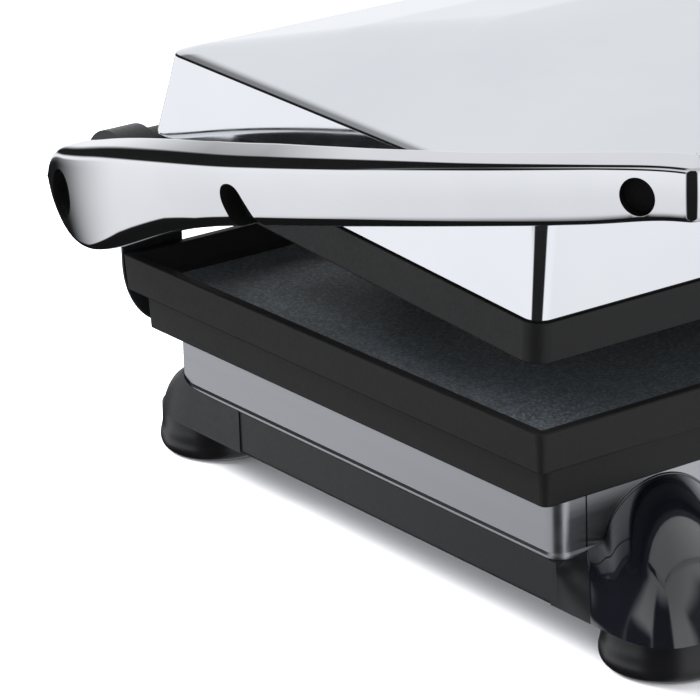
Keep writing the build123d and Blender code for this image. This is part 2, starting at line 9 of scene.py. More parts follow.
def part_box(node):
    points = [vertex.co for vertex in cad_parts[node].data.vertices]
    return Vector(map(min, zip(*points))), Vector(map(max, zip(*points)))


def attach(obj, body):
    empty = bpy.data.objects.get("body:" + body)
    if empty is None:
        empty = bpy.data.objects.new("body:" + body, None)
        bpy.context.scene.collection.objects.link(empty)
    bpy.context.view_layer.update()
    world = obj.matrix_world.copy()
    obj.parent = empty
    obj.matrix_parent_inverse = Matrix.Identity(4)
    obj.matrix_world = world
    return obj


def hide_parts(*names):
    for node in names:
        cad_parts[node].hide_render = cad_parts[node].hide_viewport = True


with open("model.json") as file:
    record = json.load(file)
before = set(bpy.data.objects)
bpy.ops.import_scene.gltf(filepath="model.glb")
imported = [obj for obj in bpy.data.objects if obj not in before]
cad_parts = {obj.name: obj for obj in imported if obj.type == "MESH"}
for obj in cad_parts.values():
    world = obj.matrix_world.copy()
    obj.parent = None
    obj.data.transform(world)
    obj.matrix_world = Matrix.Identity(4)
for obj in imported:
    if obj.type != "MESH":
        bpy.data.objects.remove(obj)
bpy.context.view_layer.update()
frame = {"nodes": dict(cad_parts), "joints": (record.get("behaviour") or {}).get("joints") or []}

# Looks for a contact grill. Lengths here are millimetres in the part's own frame, +Z up
# and +Y to the rear; they become metres where a mesh is made.
MM = 0.001


def span(node):
    """Lowest and highest corner of a CAD node, in millimetres."""
    low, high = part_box(node)
    return low / MM, high / MM


# ---- places read from the frame ----
tray_low, tray_high = span("lower_plate")
half_w = tray_high.x
tray_front = tray_low.y
rim_z = tray_high.z
tray_bottom = tray_low.z
bezel_low, bezel_high = span("lower_bezel")
band_low, band_high = span("steel_band")
base_low, base_high = span("base_shell")
joint_at = {joint["name"]: Vector(joint["pos_m"]) / MM for joint in frame["joints"]}
hinge_at = joint_at["lid_open"]

lid_tilt = math.radians(3.87)   # the raised lid hangs nose down by this much
frame_low, frame_high = span("lid_frame")
lid_frame_h = 18.0
lid_bottom = frame_low.z
lid_front = frame_low.y + lid_frame_h * math.sin(lid_tilt)
lid_half_w = frame_high.x
lid_len = 255.0
lid_matrix = Matrix.Translation((0, lid_front, lid_bottom)) @ Matrix.Rotation(lid_tilt, 4, "X")


# ================= mesh helpers =================

def spline(points, count):
    """Natural cubic spline through points of any dimension, sampled evenly along its chords."""
    points = np.array(points, float)
    chord = np.linalg.norm(np.diff(points, axis=0), axis=1)
    knots = np.concatenate([[0], np.cumsum(chord)])
    size = len(points)
    system = np.zeros((size, size))
    right = np.zeros_like(points)
    system[0, 0] = system[-1, -1] = 1
    for i in range(1, size - 1):
        before = knots[i] - knots[i - 1]
        after = knots[i + 1] - knots[i]
        system[i, i - 1:i + 2] = before, 2 * (before + after), after
        right[i] = 6 * ((points[i + 1] - points[i]) / after - (points[i] - points[i - 1]) / before)
    bend = np.linalg.solve(system, right)
    at = np.linspace(0, knots[-1], count)
    where = np.clip(np.searchsorted(knots, at, side="right") - 1, 0, size - 2)
    step = (knots[where + 1] - knots[where])[:, None]
    a = (knots[where + 1] - at)[:, None]
    b = (at - knots[where])[:, None]
    return (bend[where] * a ** 3 / (6 * step) + bend[where + 1] * b ** 3 / (6 * step)
            + (points[where] / step - bend[where] * step / 6) * a
            + (points[where + 1] / step - bend[where + 1] * step / 6) * b)


def eased(corners, steps=5, closed=False):
    """2-D outline from (x, y, radius) corners, with each corner rounded by an arc."""
    size = len(corners)
    outline = []
    for i, (x, y, radius) in enumerate(corners):
        if radius <= 0 or (not closed and i in (0, size - 1)):
            outline.append((x, y))
            continue
        here = Vector((x, y))
        to_last = Vector(corners[i - 1][:2]) - here
        to_next = Vector(corners[(i + 1) % size][:2]) - here
        opening = to_last.angle(to_next)
        reach = min(radius / math.tan(opening / 2), 0.49 * to_last.length, 0.49 * to_next.length)
        radius = reach * math.tan(opening / 2)
        start = here + to_last.normalized() * reach
        end = here + to_next.normalized() * reach
        centre = here + (to_last.normalized() + to_next.normalized()).normalized() * (
            radius / math.sin(opening / 2))
        first = math.atan2(start.y - centre.y, start.x - centre.x)
        last = math.atan2(end.y - centre.y, end.x - centre.x)
        turn = (last - first + math.pi) % (2 * math.pi) - math.pi
        for k in range(steps + 1):
            angle = first + turn * k / steps
            outline.append((centre.x + radius * math.cos(angle), centre.y + radius * math.sin(angle)))
    return outline


def rounded_ring(x0, x1, y0, y1, front_radius, steps=8, rear_radius=None):
    """Corner points of a rounded rectangle, counter-clockwise from its right side."""
    ring = []
    for sx, sy, start in ((1, 1, 0), (-1, 1, 90), (-1, -1, 180), (1, -1, 270)):
        radius = front_radius if sy < 0 or rear_radius is None else rear_radius
        centre_x = (x1 if sx > 0 else x0) - sx * radius
        centre_y = (y1 if sy > 0 else y0) - sy * radius
        for k in range(steps + 1):
            angle = math.radians(start + 90 * k / steps)
            ring.append((centre_x + radius * math.cos(angle), centre_y + radius * math.sin(angle)))
    return ring


def stacked(rings, cap_first=True, cap_last=True, closed_rows=False):
    """Points and faces of a skin over rings with equal point counts."""
    count = len(rings[0])
    points = [Vector(p) for ring in rings for p in ring]
    faces = []
    rows = len(rings) if closed_rows else len(rings) - 1
    for row in range(rows):
        here = row * count
        above = (row + 1) % len(rings) * count
        for k in range(count):
            after = (k + 1) % count
            faces.append((here + k, here + after, above + after, above + k))
    if cap_first and not closed_rows:
        faces.append(tuple(reversed(range(count))))
    if cap_last and not closed_rows:
        faces.append(tuple(range(len(points) - count, len(points))))
    return points, faces


def box_rings(low, high, corner, profile, steps=8, rear_corner=1.4):
    """Rings over a rectangle for a profile of (inset, z) pairs."""
    rings = []
    for inset, z in profile:
        ring = rounded_ring(low.x + inset, high.x - inset, low.y + inset, high.y - inset,
                            max(corner - inset, 1.0), steps, max(rear_corner - inset, 0.6))
        rings.append([(x, y, z) for x, y in ring])
    return rings


def turned_rings(profile, segments=96):
    """Rings about Z for a profile of (radius, z) pairs."""
    return [[(r * math.cos(2 * math.pi * k / segments), r * math.sin(2 * math.pi * k / segments), z)
             for k in range(segments)] for r, z in profile]


def joined(*parts):
    """One set of points and faces from several."""
    points, faces = [], []
    for part_points, part_faces in parts:
        shift = len(points)
        points += part_points
        faces += [tuple(i + shift for i in face) for face in part_faces]
    return points, faces


def moved(part, matrix):
    points, faces = part
    return [matrix @ Vector(p) for p in points], faces


def flipped_x(part):
    points, faces = part
    return [Vector((-p[0], p[1], p[2])) for p in points], [tuple(reversed(f)) for f in faces]


def piece(name, part, look, body, stands_for=(), crease=38.0):
    """Mesh object from points in millimetres, smooth except at creases."""
    points, faces = part
    mesh = bpy.data.meshes.new(name)
    mesh.from_pydata([tuple(c * MM for c in p) for p in points], [], faces)
    work = bmesh.new()
    work.from_mesh(mesh)
    bmesh.ops.remove_doubles(work, verts=work.verts, dist=0.00002)
    bmesh.ops.recalc_face_normals(work, faces=work.faces)
    work.to_mesh(mesh)
    work.free()
    obj = bpy.data.objects.new(name, mesh)
    bpy.context.scene.collection.objects.link(obj)
    for one in look if isinstance(look, (list, tuple)) else (look,):
        mesh.materials.append(one)
    finish_shading(obj, crease)
    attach(obj, body)
    if stands_for:
        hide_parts(*stands_for)
    return obj


def finish_shading(obj, crease):
    obj.data.shade_smooth()
    obj.data.set_sharp_from_angle(angle=math.radians(crease))
    weighted = obj.modifiers.new("weighted normals", "WEIGHTED_NORMAL")
    weighted.mode = "FACE_AREA"
    weighted.keep_sharp = True
    weighted.weight = 60


def pair(name, part, look, body, crease=38.0):
    """Left and right pieces that stand for the CAD nodes of the same names."""
    piece(name + "_left_skin", part, look, body, (name + "_left",), crease)
    piece(name + "_right_skin", flipped_x(part), look, body, (name + "_right",), crease)


def cut(obj, cutter_part, wall_material):
    """Boolean difference with a closed cutter, applied; the new walls get their own material."""
    points, faces = cutter_part
    mesh = bpy.data.meshes.new("cutter")
    mesh.from_pydata([tuple(c * MM for c in p) for p in points], [], faces)
    cutter = bpy.data.objects.new("cutter", mesh)
    bpy.context.scene.collection.objects.link(cutter)
    for material in obj.data.materials:
        mesh.materials.append(material)
    mesh.polygons.foreach_set("material_index", [wall_material] * len(mesh.polygons))
    work = bmesh.new()
    work.from_mesh(mesh)
    bmesh.ops.recalc_face_normals(work, faces=work.faces)
    work.to_mesh(mesh)
    work.free()
    trim = obj.modifiers.new("trim", "BOOLEAN")
    trim.operation = "DIFFERENCE"
    trim.solver = "EXACT"
    trim.object = cutter
    others = [m for m in obj.modifiers if m.name != trim.name]
    for other in others:
        other.show_viewport = False
    bpy.context.view_layer.update()
    graph = bpy.context.evaluated_depsgraph_get()
    result = bpy.data.meshes.new_from_object(obj.evaluated_get(graph))
    obj.modifiers.remove(trim)
    for other in others:
        other.show_viewport = True
    old = obj.data
    obj.data = result
    bpy.data.meshes.remove(old)
    bpy.data.objects.remove(cutter)


# ================= materials =================

class Nodes:
    """Short calls for building one material's node tree."""

    def __init__(self, name):
        self.material = bpy.data.materials.new(name)
        self.material.use_nodes = True
        self.tree = self.material.node_tree
        self.shader = self.tree.nodes["Principled BSDF"]
        self.place = self.add("ShaderNodeTexCoord").outputs["Object"]

    def add(self, kind, **settings):
        node = self.tree.nodes.new(kind)
        for key, value in settings.items():
            setattr(node, key, value)
        return node

    def link(self, output, socket):
        self.tree.links.new(output, socket)

    def noise(self, scale, detail=3.0, stretch=(1, 1, 1)):
        mapping = self.add("ShaderNodeMapping")
        mapping.inputs["Scale"].default_value = stretch
        self.link(self.place, mapping.inputs["Vector"])
        noise = self.add("ShaderNodeTexNoise")
        noise.inputs["Scale"].default_value = scale
        noise.inputs["Detail"].default_value = detail
        self.link(mapping.outputs["Vector"], noise.inputs["Vector"])
        return noise.outputs["Fac"]

    def spread(self, value, low, high, start=0.3, end=0.7):
        ranged = self.add("ShaderNodeMapRange")
        ranged.inputs["From Min"].default_value = start
        ranged.inputs["From Max"].default_value = end
        ranged.inputs["To Min"].default_value = low
        ranged.inputs["To Max"].default_value = high
        self.link(value, ranged.inputs["Value"])
        return ranged.outputs["Result"]

    def tones(self, value, dark, light, start=0.3, end=0.7):
        ramp = self.add("ShaderNodeValToRGB")
        ramp.color_ramp.elements[0].position = start
        ramp.color_ramp.elements[0].color = (*dark, 1)
        ramp.color_ramp.elements[1].position = end
        ramp.color_ramp.elements[1].color = (*light, 1)
        self.link(value, ramp.inputs["Fac"])
        self.link(ramp.outputs["Color"], self.shader.inputs["Base Color"])

    def bump(self, value, depth, strength=1.0):
        bump = self.add("ShaderNodeBump")
        bump.inputs["Distance"].default_value = depth
        bump.inputs["Strength"].default_value = strength
        self.link(value, bump.inputs["Height"])
        self.link(bump.outputs["Normal"], self.shader.inputs["Normal"])


def coated_metal(name, dark, light, rough_low, rough_high, cloud=14.0):
    """Plated or polished metal with faint clouding and fine polishing marks."""
    nodes = Nodes(name)
    nodes.shader.inputs["Metallic"].default_value = 1.0
    cloudy = nodes.noise(cloud)
    nodes.tones(cloudy, dark, light)
    nodes.link(nodes.spread(nodes.noise(60.0, 4.0), rough_low, rough_high),
               nodes.shader.inputs["Roughness"])
    nodes.bump(nodes.noise(9.0, 1.0), 0.00006, 0.3)
    return nodes.material


def brushed(name, dark, light, rough_low, rough_high, stretch, depth=0.00002):
    """Metal with a fine straight brushing."""
    nodes = Nodes(name)
    nodes.shader.inputs["Metallic"].default_value = 1.0
    lines = nodes.noise(420.0, 2.0, stretch)
    nodes.tones(lines, dark, light)
    nodes.link(nodes.spread(lines, rough_low, rough_high), nodes.shader.inputs["Roughness"])
    nodes.bump(lines, depth, 0.4)
    return nodes.material


def moulded(name, dark, light, rough_low, rough_high, grain, depth, coat=0.0, specular=0.5, cloud=8.0):
    """Moulded plastic, rubber or enamel with a fine surface grain."""
    nodes = Nodes(name)
    nodes.shader.inputs["Specular IOR Level"].default_value = specular
    nodes.shader.inputs["Coat Weight"].default_value = coat
    nodes.shader.inputs["Coat Roughness"].default_value = 0.04
    nodes.tones(nodes.noise(cloud), dark, light)
    grained = nodes.noise(grain, 2.0)
    nodes.link(nodes.spread(grained, rough_low, rough_high), nodes.shader.inputs["Roughness"])
    nodes.bump(grained, depth, 0.6)
    return nodes.material


def speckled(name, dark, light, rough_low, rough_high, specular, depth):
    """Non-stick coating: fine light specks over a dark ground."""
    nodes = Nodes(name)
    specks = nodes.noise(900.0, 2.0)
    nodes.tones(specks, dark, light, 0.42, 0.68)
    nodes.shader.inputs["Specular IOR Level"].default_value = specular
    nodes.link(nodes.spread(nodes.noise(500.0, 2.0), rough_low, rough_high),
               nodes.shader.inputs["Roughness"])
    nodes.bump(specks, depth, 0.8)
    return nodes.material


def tinted_glass(name, colour):
    """Clear coloured lens with a slightly uneven surface."""
    nodes = Nodes(name)
    nodes.shader.inputs["Base Color"].default_value = (*colour, 1)
    nodes.shader.inputs["Coat Weight"].default_value = 1.0
    nodes.link(nodes.spread(nodes.noise(200.0), 0.08, 0.16), nodes.shader.inputs["Roughness"])
    nodes.bump(nodes.noise(300.0), 0.00002, 0.3)
    return nodes.material


chrome = coated_metal("chrome", (0.80, 0.81, 0.84), (0.86, 0.87, 0.89), 0.035, 0.06)
chrome_lid = coated_metal("chrome_lid", (0.84, 0.86, 0.90), (0.88, 0.90, 0.93), 0.05, 0.08)
band_steel = brushed("band_steel", (0.46, 0.47, 0.50), (0.49, 0.50, 0.53), 0.30, 0.36,
                     (0.02, 0.02, 1.0), 0.000006)
plain_steel = brushed("plain_steel", (0.48, 0.48, 0.49), (0.60, 0.60, 0.62), 0.22, 0.34, (1.0, 0.05, 0.05))
tray_coat = speckled("tray_coat", (0.0066, 0.0065, 0.0066), (0.0082, 0.0081, 0.0082), 0.42, 0.48,
                     0.24, 0.00001)
# Floor coat: the real speckle, made many times lighter than the walls' coat of the same non-stick finish;
# that lightness is painted sheen.
tray_floor_coat = speckled("tray_floor_coat", (0.055, 0.064, 0.071), (0.150, 0.170, 0.188), 0.34, 0.46,
                           0.5, 0.00004)
satin_black = moulded("satin_black", (0.0056, 0.0057, 0.0060), (0.0078, 0.0079, 0.0082), 0.36, 0.46,
                      700.0, 0.00003, specular=0.25)
base_black = moulded("base_black", (0.0056, 0.0060, 0.0070), (0.0078, 0.0083, 0.0095), 0.30, 0.40,
                     700.0, 0.00003, specular=0.35)
gloss_black = moulded("gloss_black", (0.0035, 0.0040, 0.0062), (0.0050, 0.0056, 0.0080), 0.07, 0.11, 300.0,
                      0.000006, coat=1.0, specular=1.0)
rubber = moulded("rubber", (0.010, 0.010, 0.011), (0.016, 0.016, 0.017), 0.35, 0.55, 900.0, 0.00003)
foot_rubber = moulded("foot_rubber", (0.004, 0.004, 0.005), (0.006, 0.006, 0.007), 0.28, 0.34,
                     600.0, 0.000004)
# Near-black and matte: painted shade on the arms' hole, recess and slot walls and in the band's seam
# groove; also the colour of the recess ring and arm plug.
pit_black = moulded("pit_black", (0.002, 0.002, 0.002), (0.004, 0.004, 0.004), 0.6, 0.8, 500.0, 0.00003,
                    specular=0.2)
heater_look = brushed("heater_look", (0.20, 0.19, 0.18), (0.30, 0.28, 0.26), 0.45, 0.6, (0.3, 0.3, 0.3))
brass_look = brushed("brass_look", (0.55, 0.42, 0.20), (0.66, 0.52, 0.27), 0.25, 0.4, (1, 1, 1))
red_lens = tinted_glass("red_lens", (0.35, 0.02, 0.02))
lamp_glass = tinted_glass("lamp_glass", (0.5, 0.35, 0.2))


# ================= tray and base =================

def make_tray():
    """Cast tray with a drafted rim, softened edges and a flat coated floor; the floor's lighter coat is
    painted sheen.
    """
    floor_depth = 11.9
    floor_z = rim_z - floor_depth
    wall_top = 4.4
    outside = eased([(40, tray_bottom, 0), (1.0, tray_bottom, 0.7), (0, rim_z, 0.7),
                     (wall_top, rim_z, 0.9)], 4)
    outside = outside[:-1] + [(wall_top - 0.9, rim_z)]
    inside = eased([(wall_top - 0.9, rim_z, 0), (wall_top, rim_z, 0.9), (5.4, floor_z, 3.2),
                    (30, floor_z, 0)], 5)
    skin = stacked(box_rings(tray_low, tray_high, 3.6, outside + inside[1:-1]), True, False)
    piece("tray_skin", skin, tray_coat, "root", ("lower_plate",))
    last = inside[-2]
    # The floor takes the lighter coat: painted sheen over the real speckle.
    floor_rings = box_rings(tray_low, tray_high, 3.6, [last, (30, floor_z)])
    piece("tray_floor_skin", stacked(floor_rings, False, True), tray_floor_coat, "root", ())


def make_bezel():
    """Lower tier under the tray, parted from it by a shallow groove."""
    groove = 1.1
    profile = eased([(17.0, bezel_low.z, 0.5), (0.8, bezel_low.z, 0.7), (0, tray_bottom - groove, 0.6),
                     (2.4, tray_bottom - groove, 0.3), (2.4, tray_bottom, 0), (17.0, tray_bottom, 0)],
                    3, closed=True)
    rings = box_rings(bezel_low, bezel_high, 4.3, profile)
    piece("bezel_skin", stacked(rings, closed_rows=True), tray_coat, "root", ("lower_bezel",))


def make_band():
    """Steel strip with a small rolled lip along its lower edge."""
    lip = 0.75
    z0, z1 = band_low.z, band_high.z
    profile = eased([(lip, z1, 0), (lip, z0 + 2.6, 0.5), (0, z0 + 1.5, 0.5), (0, z0, 0.6), (1.9, z0, 0.3),
                     (1.9, z1, 0)], 4, closed=True)
    rings = box_rings(band_low, band_high, 7.4, profile, 10, 2.0)
    piece("band_skin", stacked(rings, closed_rows=True), band_steel, "root", ("steel_band",))
    # The seam groove is a thin near-black strip on the band's face, with no groove cut: painted shade.
    seam_x = -half_w + 31.0
    left_x, right_x = seam_x - 0.35, seam_x + 0.35
    face_y = band_low.y + lip - 0.05
    back_y = band_low.y + lip + 0.4
    corners = [(left_x, face_y), (right_x, face_y), (right_x, back_y), (left_x, back_y)]
    groove_shade_strip = stacked([[(x, y, z) for x, y in corners] for z in (z0 + 2.6, z1)])
    groove_shade_pair = joined(groove_shade_strip, flipped_x(groove_shade_strip))
    piece("band_seams", groove_shade_pair, pit_black, "root", ())


def make_base():
    """Skirt below the band."""
    z0 = base_low.z
    z1 = base_high.z
    wall = band_low.z + 0.2
    flush = Vector((0.85, 0.6, 0))      # brings the skirt out level with the band's lip
    profile = eased([(3.9, z0, 0), (0.3, z0, 0.6), (0, z0 + 1.0, 0.8), (0, wall, 0.4), (2.5, wall, 0),
                     (2.5, z1, 0), (3.9, z1, 0)], 3, closed=True)
    rings = box_rings(base_low - flush, base_high + flush, 1.0, profile, 8)
    piece("base_skin", stacked(rings, closed_rows=True), base_black, "root", ("base_shell",))


# ---- legs: skins between a rim on the band or base and the edge over the foot ----
def at(x, y, z):
    """Point from its distance to the left side, the tray's front plane and the rim."""
    return (-half_w + x, tray_front + y, rim_z + z)


def flare_skin(edges, fullness, first=0, last=None, columns=110, rows=26):
    """Skin from an upper edge out and down to the lower edge, between two rows of edges.

    Each row of edges is (upper x, y, z, lower x, y). A fullness of 1 bulges like a quarter
    ellipse and 0 runs straight.
    """
    points = np.array([[*row, base_low.z - rim_z] for row in edges], float)
    chord = np.concatenate([[0], np.cumsum(np.linalg.norm(np.diff(points, axis=0), axis=1))])
    last = len(points) - 1 if last is None else last
    fine = spline(points, 1201)
    grid = [[] for _ in range(rows + 1)]
    for k in range(columns + 1):
        spot = chord[first] + (chord[last] - chord[first]) * k / columns
        both_ends = fine[min(round(spot / chord[-1] * 1200), 1200)]
        top, foot = both_ends[:3], both_ends[3:]
        for i in range(rows + 1):
            share = i / rows
            turn = 0.5 * math.pi * share
            out = fullness * math.sin(turn) + (1 - fullness) * share
            fall = fullness * (1 - math.cos(turn)) + (1 - fullness) * share
            grid[i].append(at(top[0] + (foot[0] - top[0]) * out, top[1] + (foot[1] - top[1]) * out,
                              top[2] + (foot[2] - top[2]) * fall))
    return grid


def shell_from(grid, back_y, inset=0.0):
    """Closed body behind a skin: its outer rows plus a back at back_y, inset from the first edge."""
    rows = []
    for row in grid:
        first, last = row[0], row[-1]
        back = [(last[0], back_y, last[2]), (first[0] + inset, back_y, first[2])]
        if inset:
            back.append((first[0] + inset, first[1], first[2]))
        rows.append(row + back)
    return stacked(rows)


front_edges = [
    (16.3, 12.6, -58.6, 16.3, 12.0), (20.0, 12.3, -58.2, 16.3, 7.0), (25.5, 12.2, -57.3, 16.3, 0.0),
    (31.0, 12.1, -56.6, 16.4, -7.6), (36.0, 12.0, -56.1, 16.4, -15.0), (39.2, 12.0, -54.6, 16.5, -22.0),
    (40.8, 12.0, -51.0, 17.0, -28.5), (43.4, 12.0, -46.6, 18.6, -34.6), (47.4, 12.0, -42.6, 20.8, -39.4),
    (52.8, 12.0, -39.2, 23.8, -42.8), (59.2, 12.0, -36.9, 28.0, -45.2), (66.0, 12.0, -36.1, 33.6, -46.7),
    (72.8, 12.0, -36.9, 40.6, -47.4), (79.2, 12.0, -39.2, 48.4, -47.2), (84.6, 12.0, -42.6, 56.4, -45.8),
    (88.6, 12.0, -46.6, 64.0, -42.4), (91.2, 12.0, -51.0, 70.6, -36.8), (92.6, 12.0, -55.6, 75.6, -29.0),
    (93.0, 12.0, -60.4, 78.8, -19.0), (93.2, 12.0, -65.4, 81.0, -8.0), (93.4, 12.0, -70.6, 84.0, 3.0),
    (93.6, 12.4, -75.0, 90.0, 12.0)]
seam_row = 3            # where the base's corner ends and the glossy leg begins
arch_rows = (5, 18)     # ends of the lip that frames the leg's arch
rear_edges = [
    (15.8, 221.5, -58.0, 15.7, 221.5), (15.8, 232.0, -58.0, 15.7, 233.0), (15.8, 243.0, -57.9, 15.7, 246.0),
    (15.8, 252.0, -57.6, 15.7, 258.0), (15.9, 258.6, -56.6, 15.8, 268.0), (16.2, 262.4, -54.4, 16.6, 276.5),
    (17.6, 263.8, -51.6, 19.0, 284.5), (22.0, 264.2, -50.4, 24.0, 292.5), (30.0, 264.3, -50.0, 33.0, 300.0),
    (40.0, 264.3, -50.0, 44.0, 303.8), (50.0, 264.3, -50.4, 54.0, 302.5), (58.0, 264.3, -52.0, 62.5, 296.0),
    (64.0, 264.3, -55.5, 68.0, 286.0), (68.0, 264.3, -61.0, 70.5, 276.0), (71.0, 264.3, -70.0, 71.4, 265.5)]
front_leg_at = Vector(at(47.5, -14.6, -rim_z))
rear_leg_at = Vector(at(46.0, 282.0, -rim_z))


def make_front_legs():
    """Glossy toe cap that slopes from an arch on the band out to the foot, with a fine lip."""
    fullness = 0.62
    cap_back = tray_front + 12.8
    corner_back = tray_front + 16.0
    cap = shell_from(flare_skin(front_edges, fullness, seam_row), cap_back)
    corner = shell_from(flare_skin(front_edges, fullness, 0, seam_row, columns=50), corner_back)
    pair("front_leg", cap, gloss_black, "root", crease=50)
    for part, side in ((corner, "left"), (flipped_x(corner), "right")):
        piece("base_corner_" + side, part, base_black, "root", (), crease=50)
    arch = spline([at(*row[:3]) for row in front_edges[arch_rows[0]:arch_rows[1]]], 200)
    bead_radius = 0.62
    lip = stacked(tube_rings(arch, bead_radius))
    for part, side in ((lip, "left"), (flipped_x(lip), "right")):
        piece("arch_lip_" + side, part, gloss_black, "root", (), crease=60)


def tube_rings(path, radius, segments=10):
    """Rings of a thin round bead whose path lies in a plane of constant Y."""
    rings = []
    for k in range(len(path)):
        along = path[min(k + 1, len(path) - 1)] - path[max(k - 1, 0)]
        side = Vector((along[2], 0, -along[0])).normalized()
        rings.append([Vector(path[k]) + side * radius * math.cos(2 * math.pi * n / segments)
                      + Vector((0, -1, 0)) * radius * math.sin(2 * math.pi * n / segments)
                      for n in range(segments)])
    return rings


def make_rear_legs():
    """Corner of the base that flares out to the rear foot."""
    fullness = 0.5
    back_y = tray_front + 256.0
    wall = 6.0
    flare = shell_from(flare_skin(rear_edges, fullness, columns=150), back_y, wall)
    pair("rear_leg", flare, base_black, "root", crease=50)


def make_feet():
    """Soft feet, widest a little above the table."""
    side = spline([(22.4, 0.0), (24.3, 1.0), (25.7, 3.4), (25.9, 6.5), (25.0, 10.5), (24.7, 15.0),
                   (24.6, 19.9)], 30)
    for name, place in (("front_foot", front_leg_at), ("rear_foot", rear_leg_at)):
        foot = moved(stacked(turned_rings(side, 96)), Matrix.Translation(place))
        pair(name, foot, foot_rubber, "root")


# ================= lid =================

def lid_top(v):
    """Height of the lid's upper edge over its own base plane, v behind its front."""
    front_h = 44.0
    rear_h = 35.0
    return lid_frame_h + front_h + (rear_h - front_h) * v / lid_len


def lid_ring(inset, radius, height, steps=12):
    """Ring on the lid; height is a function of the distance behind the front."""
    ring = rounded_ring(-lid_half_w + inset, lid_half_w - inset, inset, lid_len - inset, radius, steps)
    return [lid_matrix @ Vector((x, v, height(v))) for x, v in ring]


def make_lid_shell():
    """Chrome cover: flared sides, rounded shoulder, sloped border and a low crown."""
    flare = 5.0
    shoulder = eased([(flare * 0.75, -10.0, 0), (flare, -0.8, 1.1), (flare + 4.4, 0.9, 26.0),
                      (flare + 42, 7.5, 60.0), (flare + 78, 11.2, 80.0), (flare + 104, 12.2, 0)], 10)
    shoulder = shoulder[1:]
    rings = [lid_ring(2.0, 5.0, lambda v: lid_frame_h), lid_ring(0.0, 7.0, lambda v: lid_frame_h),
             lid_ring(0.1, 7.0, lambda v: lid_frame_h + 1.0),
             lid_ring(flare * 0.7, 8.2, lambda v: lid_top(v) - 12.0)]
    for inset, rise in shoulder:
        room = 0.45 * (lid_len - 2 * inset)
        radius = min(9.0 + 0.5 * max(inset - flare, 0), room)
        rings.append(lid_ring(inset, radius, lambda v, rise=rise: lid_top(v) + rise))
    piece("lid_skin", stacked(rings), chrome_lid, "lid", ("lid_shell",), crease=50)


def make_lid_frame():
    """Black frame under the shell, with a fine step below the chrome edge."""
    step = 1.4
    inner = 14.0
    top = lid_frame_h
    profile = eased([(inner, 0.6, 0), (inner, 0, 0), (0, 0, 1.0), (0, top - step, 0.4),
                     (step, top - step, 0.2),
                     (step, top, 0), (inner, top, 0)], 4, closed=True)
    rings = [lid_ring(inset, max(8.0 - inset, 1.5), lambda v, w=w: w, 8) for inset, w in profile]
    piece("lid_frame_skin", stacked(rings, closed_rows=True), satin_black, "lid", ("lid_frame",))


# ================= handle =================

# Plan of an arm's outer face: distance outside the tray's side, distance behind its front.
arm_plan = [(19.0, 306.0), (23.0, 289.0), (29.2, 253.0), (32.9, 219.0), (34.6, 185.0), (34.6, 158.0),
            (32.9, 125.0), (26.9, 76.5), (20.1, 42.4), (12.9, 13.9), (5.8, -9.4), (-3.7, -36.5),
            (-7.5, -46.6), (-10.9, -55.0), (-13.9, -62.6), (-15.6, -66.2), (-18.6, -68.0), (-24.0, -68.7),
            (-34.0, -69.5), (-44.0, -70.2)]
# Side view: distance behind the tray's front, height over its rim.
arm_face_top = [(306.0, 32.0), (303.5, 39.5), (297.0, 45.8), (286.0, 49.3), (253.0, 57.3), (219.0, 64.7),
                (195.0, 69.4), (158.0, 76.2), (125.0, 82.6), (76.5, 91.9), (42.4, 97.8), (13.9, 102.4),
                (-9.4, 106.1), (-36.5, 110.2), (-54.8, 112.5), (-72.0, 113.3)]
arm_low = [(306.0, 32.0), (303.0, 24.0), (294.0, 15.5), (281.0, 10.8), (266.0, 10.9), (253.0, 14.0),
           (219.0, 26.8), (195.0, 36.3), (158.0, 48.1), (125.0, 55.9), (76.5, 66.4), (42.4, 73.3),
           (13.9, 78.9), (-9.4, 83.3), (-36.5, 88.8), (-54.8, 92.6), (-72.0, 94.0)]
# Distance behind the tray's front, rise of the top surface towards the inside, radii of
# the outer edges at the top and at the bottom.
arm_edges = [(306.0, 0.5, 3.0, 2.4), (285.0, 2.4, 5.4, 2.6), (262.0, 3.4, 6.2, 3.0), (232.0, 4.4, 6.4, 7.0),
             (200.0, 5.2, 6.2, 8.0), (170.0, 5.8, 5.8, 5.2), (130.0, 5.6, 5.2, 4.6), (78.0, 3.3, 4.2, 3.8),
             (27.0, 2.0, 2.8, 2.8), (-30.0, 2.4, 1.8, 2.0), (-72.0, 2.6, 2.0, 2.0)]
arm_thick = 15.0
rim_front = Vector((-half_w, tray_front, rim_z))


def arm_sections():
    """Stations along the left arm: outer point, inward direction and section sizes."""
    path = spline(arm_plan, 900)
    top = spline(arm_face_top, 900)
    low = spline(arm_low, 900)
    edges = np.array(arm_edges)[::-1]
    along = np.linspace(0, 1, 150)
    along = along - 0.10 * np.sin(2 * math.pi * along) / (2 * math.pi)
    near_end = np.array([0.0004, 0.001, 0.002, 0.0035, 0.0055, 0.008])
    along = np.unique(np.concatenate([near_end, along[along > 0.009]]))
    sections = []
    inner_x = -half_w - 60.0
    for share in along:
        i = share * (len(path) - 1)
        k = min(int(i), len(path) - 2)
        spot = path[k] + (path[k + 1] - path[k]) * (i - k)
        before = path[max(k - 1, 0)]
        after = path[min(k + 2, len(path) - 1)]
        heading = (after - before) / np.linalg.norm(after - before)
        behind = spot[1]
        z_top = float(np.interp(-behind, -top[:, 0], top[:, 1]))
        z_low = float(np.interp(-behind, -low[:, 0], low[:, 1]))
        rise, r_top, r_low = (float(np.interp(behind, edges[:, 0], edges[:, c])) for c in (1, 2, 3))
        outer = Vector((-half_w - spot[0], tray_front + behind, 0))
        inward = Vector((-heading[1], -heading[0], 0))
        if behind < -30.0:       # keeps the inner face from folding back at the corner
            inner_x = max(outer.x + inward.x * arm_thick, inner_x)
            inward.x = (inner_x - outer.x) / arm_thick
        sections.append((outer, inward, rim_z + z_low, rim_z + z_top, rise, r_top, r_low))
    return sections


